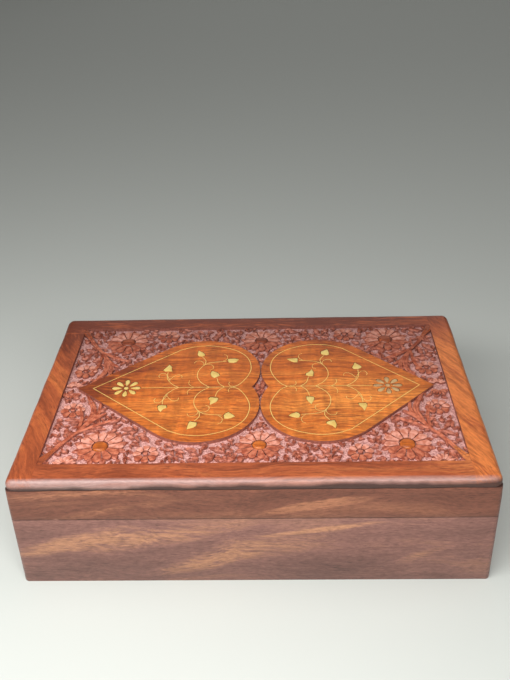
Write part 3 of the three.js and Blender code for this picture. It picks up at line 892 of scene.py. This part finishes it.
def carved_petal(centre, heading, inner, outer, spread, top, scoop):
    """A scooped petal, painted paler as lit unless it points towards the front."""
    along = Vector((math.cos(heading), math.sin(heading), 0))
    across = Vector((-along.y, along.x, 0))

    def surface(s, v):
        radius = inner + (outer - inner) * s
        rounding = max(0, s - 0.55) / 0.46
        half = radius * math.tan(spread) * math.sqrt(max(0.04, 1 - rounding**2))
        fall = scoop * (1 - v * v) * math.sin(math.pi * min(1, 0.15 + s))
        fall += 0.3 * v**4 + 0.55 * s**5 + 0.35 * (1 - s) ** 2
        return Vector(centre) + along * radius + across * half * v + Vector((0, 0, top - fall))

    # Painted light: petals pointing back or sideways take the pale lit wood, front ones the red wood.
    carve(6, 4, surface, lit_petal_face if math.sin(heading) > -0.1 else red_petal_face)


def carved_ribbon(points, width_at, top, wood=red_petal_face, steps=14):
    """A grooved stem or blade along a run, as wide as width_at says at each share of it."""
    def surface(s, v):
        centre = spline(points, s)
        along = (spline(points, min(1, s + 0.02)) - spline(points, max(0, s - 0.02))).normalized()
        fall = 0.45 * max(0, 1 - abs(v) * 2.2) + 0.55 * v**4
        side = Vector((-along.y, along.x, 0)) * width_at(s) / 2 * v
        return centre + side + Vector((0, 0, top - fall))

    carve(steps, 4, surface, wood)


def carved_button(x, y, radius, top, wood):
    """The polished dome in the middle of a flower."""
    shape = bmesh.new()
    bmesh.ops.create_cone(
        shape, cap_ends=True, segments=28, radius1=radius, radius2=radius, depth=top - figure_foot,
    )
    bmesh.ops.translate(shape, vec=(x, y, (top + figure_foot) / 2), verts=shape.verts)
    rounded(shape, rim(shape, top), 0.45 * radius, 5)
    # The button's side takes the darker wood as painted shade.
    for face in shape.faces:
        face.material_index = wood if face.normal.z > 0.3 else side_shade_face
    shape.to_mesh(figure_mesh)
    shape.free()
    carving.from_mesh(figure_mesh)


middle_daisy, corner_daisy, rosette = 14.0, 15.5, 8.4
daisy_petals, rosette_petals = 12, 8
daisy_button, rosette_button = 0.33, 0.2
daisy_x, daisy_y = field_x - 36.5, field_y - 19
rosette_step, rosette_inset, side_rosette_y = 30.5, 11, 24
corner_signs = [(sx, sy) for sx in (-1, 1) for sy in (-1, 1)]
flowers = [(pattern_shift, sy * daisy_y, middle_daisy) for sy in (-1, 1)]
for sx, sy in corner_signs:
    flowers += [
        (sx * daisy_x, sy * daisy_y, corner_daisy),
        (sx * (daisy_x - rosette_step), sy * (field_y - rosette_inset), rosette),
        (sx * (field_x - rosette_inset), sy * side_rosette_y, rosette),
    ]

stem_run = [(1, 0.97), (0.93, 0.78), (0.85, 0.56)]
inner_blade = [(0.86, 0.6), (0.81, 0.44), (0.74, 0.34)]
outer_blade = [(0.85, 0.58), (0.81, 0.31), (0.87, 0.08)]


def in_corner(run, signs):
    return [Vector((signs[0] * x * field_x, signs[1] * y * field_y, 0)) for x, y in run]


flower_room, stem_room = 0.45, 1.5
taken = [(x, y, radius + flower_room) for x, y, radius in flowers]
for signs in corner_signs:
    taken += [(p.x, p.y, stem_room) for p in curve_line(in_corner(stem_run, signs), 3)]
    for run in (inner_blade, outer_blade):
        taken += [(p.x, p.y, stem_room) for p in curve_line(in_corner(run, signs), 5)]


def is_free(x, y, reach):
    return (
        abs(x) < field_x - reach and abs(y) < field_y - reach
        and all(math.hypot(x - a, y - b) > other + reach for a, b, other in taken)
        and heart_distance(x, y) > reach
    )


def free_leaves(size, spacing=0.9, rings=5):
    """Leaves of one size in rings about each flower, kept where nothing is in the way."""
    reach = (size * leaf_width + spacing) / 2
    length = size * leaf_length
    leaves = []
    for ring in range(rings):
        lean = -0.8 if ring % 2 else 0.8
        for fx, fy, flower in flowers:
            radius = flower + length * (0.45 + 0.7 * ring)
            count = math.floor(2 * math.pi * radius / (leaf_width / 2))
            for i in range(count):
                angle = 2 * math.pi * i / count
                x, y = fx + radius * math.cos(angle), fy + radius * math.sin(angle)
                hx, hy = length / 2 * math.cos(angle + lean), length / 2 * math.sin(angle + lean)
                body = [(x + share * hx, y + share * hy, reach) for share in (-0.5, 0.5)]
                if all(is_free(*point) for point in body):
                    taken.extend(body)
                    leaves.append((x - hx, y - hy, angle + lean, size))
    return leaves


leaves = free_leaves(1) + free_leaves(0.6) + free_leaves(0.4, 0.5, 9) + free_leaves(0.27, 0.4, 12)
leaves += [(pattern_shift, -side * 0.9, side * math.pi / 2, 1) for side in (-1, 1)]
sprays = {
    1: [(0.0, 0.62, 0.62), (0.0, -0.62, 0.62), (0.3, 0.5, 0.5), (0.3, -0.5, 0.5), (0.25, 0.0, 0.82)],
    0.6: [(0.0, 0.55, 0.74), (0.0, -0.55, 0.74), (0.22, 0.0, 0.86)],
    0.4: [(0.0, 0.4, 1.15), (0.0, -0.4, 1.0)],
    0.27: [(0.0, 0.0, 1.5)],
}
front_fan, front_fan_x, front_fan_inset = 8.0, 118.8, 0.6
side_fan, side_fan_x, side_fan_y = 6.5, 128.5, 3.2
fan_blades, fan_turn = 7, 0.4
fans = [(sx * front_fan_x, -field_y + front_fan_inset, math.pi / 2, front_fan) for sx in (-1, 1)]
fans += [(sx * side_fan_x, sy * side_fan_y, sy * math.pi / 2, side_fan) for sx, sy in corner_signs]
for i, (x, y, heading, size) in enumerate(leaves):
    in_fan = any(math.hypot(x - fx, y - fy) < 0.9 * reach for fx, fy, _, reach in fans)
    if in_fan or (size < 0.3 and i % 3):
        continue
    for place, lean, share in sprays[size]:
        start = place * size * leaf_length
        length = share * size * leaf_length * hand.uniform(0.9, 1.08)
        carved_leaf(
            (x + start * math.cos(heading), y + start * math.sin(heading), 0),
            heading + lean + hand.uniform(-0.2, 0.2), length, 0.36 * length,
            figure_top - 0.1 - 0.5 * hand.random(), 0.35,
        )
for x, y, heading, reach in fans:
    for i in range(fan_blades):
        turn = heading + fan_turn * (i - fan_blades // 2)
        tip = (x + reach * math.cos(turn), y + reach * math.sin(turn))
        if heart_distance(*tip) > 0.6:
            carved_petal((x, y, 0), turn, 0.3 * reach, reach, 0.18, figure_top - 0.2, 0.4)
buds, first_bud_x, bud_spacing, bud_inset = 5, -34.5, 7, 3
bud_length, bud_width = 6.2, 4.4
for i in range(buds):
    base = (first_bud_x + bud_spacing * i, -field_y + bud_inset, 0)
    carved_leaf(base, math.pi / 2 + 0.25 * (-1) ** i, bud_length, bud_width, figure_top - 0.1, 0.1)
for x, y, radius in flowers:
    large = radius > rosette
    petals = daisy_petals if large else rosette_petals
    turn = hand.uniform(0, 0.2)
    for i in range(petals):
        heading = turn + 2 * math.pi * i / petals
        carved_petal(
            (x, y, 0), heading, 0.36 * radius, radius * hand.uniform(0.96, 1.03), 0.86 * math.pi / petals,
            figure_top - hand.uniform(0.1, 0.35), 0.7 if large else 0.35,
        )
        if large:
            half = heading + math.pi / petals
            base = (x + 0.72 * radius * math.cos(half), y + 0.72 * radius * math.sin(half), 0)
            carved_leaf(base, half, 0.46 * radius, 0.3 * radius, figure_top - 1.0, 0.3)
    if large:
        # Painted light: front buttons take the brighter heart wood, back ones the darker frame wood.
        polished = heart_face if y < 0 else frame_face
        carved_button(x, y, daisy_button * radius, board_top - 0.15, polished)
    else:
        carved_button(x, y, rosette_button * radius, figure_top, gouged_face)

corner_root = [(1.03, 1.04), (0.985, 0.93), (0.945, 0.82)]
corner_stem = [(0.96, 0.86), (0.91, 0.71), (0.85, 0.57)]
sheaf = [
    (inner_blade, 3.2), (outer_blade, 3.6),
    ([(0.86, 0.6), (0.775, 0.5), (0.69, 0.43)], 2.2),
    ([(0.85, 0.57), (0.785, 0.36), (0.79, 0.17)], 2.4),
    ([(0.86, 0.6), (0.86, 0.4), (0.89, 0.24)], 2.0),
]
for signs in corner_signs:
    root = in_corner(corner_root, signs)
    carved_ribbon(root, lambda s: 2.2 + 7.5 * (1 - s) ** 1.2, figure_top + 0.3, frame_face)
    carved_ribbon(in_corner(corner_stem, signs), lambda s: 2.0 + 1.6 * (1 - s), figure_top + 0.1)
    for run, width in sheaf:
        carved_ribbon(
            in_corner(run, signs), lambda s: 0.5 + width * math.sin(math.pi * s) ** 0.8,
            figure_top - hand.uniform(0.0, 0.3),
        )

gouged_wood = plain("gouged_wood", (0.46, 0.145, 0.088), 0.42, 0.4, 420.0, (0.22, 0.042, 0.02))
# The pale petal wood is a painted lit copy of the red one, which the stems also use.
lit_petal_wood = plain("lit_petal_wood", (0.66, 0.29, 0.215), 0.5, 0.3, 300.0, (0.46, 0.145, 0.085))
red_petal_wood = plain("red_petal_wood", (0.50, 0.15, 0.08), 0.45, 0.3, 300.0, (0.29, 0.06, 0.028))

whole = bmesh.new()
whole.from_mesh(board.data)
carving.to_mesh(figure_mesh)
whole.from_mesh(figure_mesh)
whole.to_mesh(board.data)
whole.free()
carving.free()
carved_woods = [gouged_wood, lit_petal_wood, red_petal_wood]
finished(board, "carved_top_board", board_woods + carved_woods)
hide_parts("lid_top_board")


# Brass inlay: leaves and petals sawn from sheet, and wire hammered into fine grooves. All of
# it is let into the hearts, set in dark lac, and filed flush with the wood.


def brass_metal(name, colour, dull, roughness):
    """Filed brass with cloudy patches of a duller tone."""
    material = bpy.data.materials.new(name)
    material.use_nodes = True
    tree = material.node_tree
    shader = tree.nodes["Principled BSDF"]
    place = node(tree, "TexCoord").outputs["Object"]
    patina = node(tree, "TexNoise", {"Vector": place, "Scale": 160.0, "Detail": 4.0}).outputs["Fac"]
    tint = mixed(tree, shade(tree, patina, 0.42, 0.7), colour, dull)
    tree.links.new(tint, shader.inputs["Base Color"])
    shader.inputs["Metallic"].default_value = 0.45
    tree.links.new(shade(tree, patina, 0.3, 0.7, roughness, roughness + 0.2), shader.inputs["Roughness"])
    scratches = grain_noise(tree, place, (500, 3500, 500), 2, 0.5)
    filed = node(tree, "Bump", {"Height": scratches, "Strength": 0.15, "Distance": 0.0001})
    tree.links.new(filed.outputs["Normal"], shader.inputs["Normal"])
    return material


bright_brass = brass_metal("bright_brass", (0.92, 0.67, 0.22), (0.80, 0.52, 0.14), 0.42)
dull_brass = brass_metal("dull_brass", (0.66, 0.44, 0.21), (0.40, 0.19, 0.09), 0.5)
filed_edge = 0.1


def brass_piece(name, shapes, replaced, metal, edge=0):
    """Joins the shapes into one piece, with their upper edges filed round by that much."""
    pieces = []
    for shape in shapes:
        if edge:
            rounded(shape, rim(shape, board_top), edge, 2)
        pieces.append(stock(name, shape))
    whole = work(pieces[0], "UNION", *pieces[1:]) if len(pieces) > 1 else pieces[0]
    finished(whole, name, [metal])
    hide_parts(*replaced)


for heart in hearts:
    metal = bright_brass if heart == "left" else dull_brass
    petals = [f"{heart}_petal_{i + 1}" for i in range(brass_petals)] + [f"{heart}_flower_centre"]
    leaves = [f"{heart}_leaf_{i + 1}" for i in range(leaf_count)]
    flower = flower_shapes(heart, 0, inlay_foot, board_top)
    brass_piece(f"{heart}_flower", flower, petals, metal, filed_edge)
    cut_leaves = leaf_shapes(heart, 0, inlay_foot, board_top)
    brass_piece(f"{heart}_leaves", cut_leaves, leaves, bright_brass, filed_edge)
    vine = wire_shapes(heart, 0, inlay_foot, board_top)
    brass_piece(f"{heart}_vine", vine, [f"{heart}_vine_wire"], bright_brass)
    border = strip(border_line(heart), border_width, inlay_foot, board_top, closed=True)
    brass_piece(f"{heart}_border", [border], [f"{heart}_border_wire"], bright_brass)


# Studio and camera: a plain pale floor in one flat sheet, with large soft lights above and in
# front. The camera stands in front of the box and looks down on its lid.

sheet = bmesh.new()
bmesh.ops.create_grid(sheet, x_segments=1, y_segments=1, size=3)
floor = stock("floor", sheet)
paper = bpy.data.materials.new("pale_paper")
paper.use_nodes = True
paper.node_tree.nodes["Principled BSDF"].inputs["Base Color"].default_value = (0.52, 0.54, 0.505, 1)
paper.node_tree.nodes["Principled BSDF"].inputs["Roughness"].default_value = 0.8
floor.data.materials.append(paper)

camera = bpy.data.objects.new("camera", bpy.data.cameras.new("camera"))
bpy.context.collection.objects.link(camera)
camera.data.lens = 44.78
camera.location = (0.0182, -0.4905, 0.4242)
camera.rotation_euler = [math.radians(angle) for angle in (58.49, 1.53, 1.04)]
bpy.context.scene.camera = camera
bpy.context.scene.view_settings.view_transform = "Standard"

for name, place, aim, size, power in (
    ("key", (-0.12, -0.38, 0.45), (0, -0.07, 0.05), (0.9, 0.16), 5.9),
    ("overhead", (0.0, 0.0, 1.5), (0, 0, 0.05), (1.2, 0.8), 3.5),
    ("back_fill", (0.2, 2.4, 1.1), (0, 0, 0.05), (2.0, 1.0), 3.5),
    ("left_fill", (-2.3, 0.2, 1.0), (0, 0, 0.05), (1.6, 0.8), 5),
    ("right_fill", (2.3, 0.2, 1.0), (0, 0, 0.05), (1.6, 0.8), 6),
):
    light = bpy.data.objects.new(name, bpy.data.lights.new(name, "AREA"))
    light.data.shape = "RECTANGLE"
    light.data.size, light.data.size_y = size
    light.data.energy = power
    light.location = place
    light.rotation_euler = (Vector(aim) - Vector(place)).to_track_quat("-Z", "Y").to_euler()
    light.visible_camera = False
    bpy.context.collection.objects.link(light)

world = bpy.data.worlds.new("studio")
bpy.context.scene.world = world
world.use_nodes = True
world.node_tree.nodes["Background"].inputs["Color"].default_value = (1.0, 0.99, 0.97, 1)
world.node_tree.nodes["Background"].inputs["Strength"].default_value = 0.15
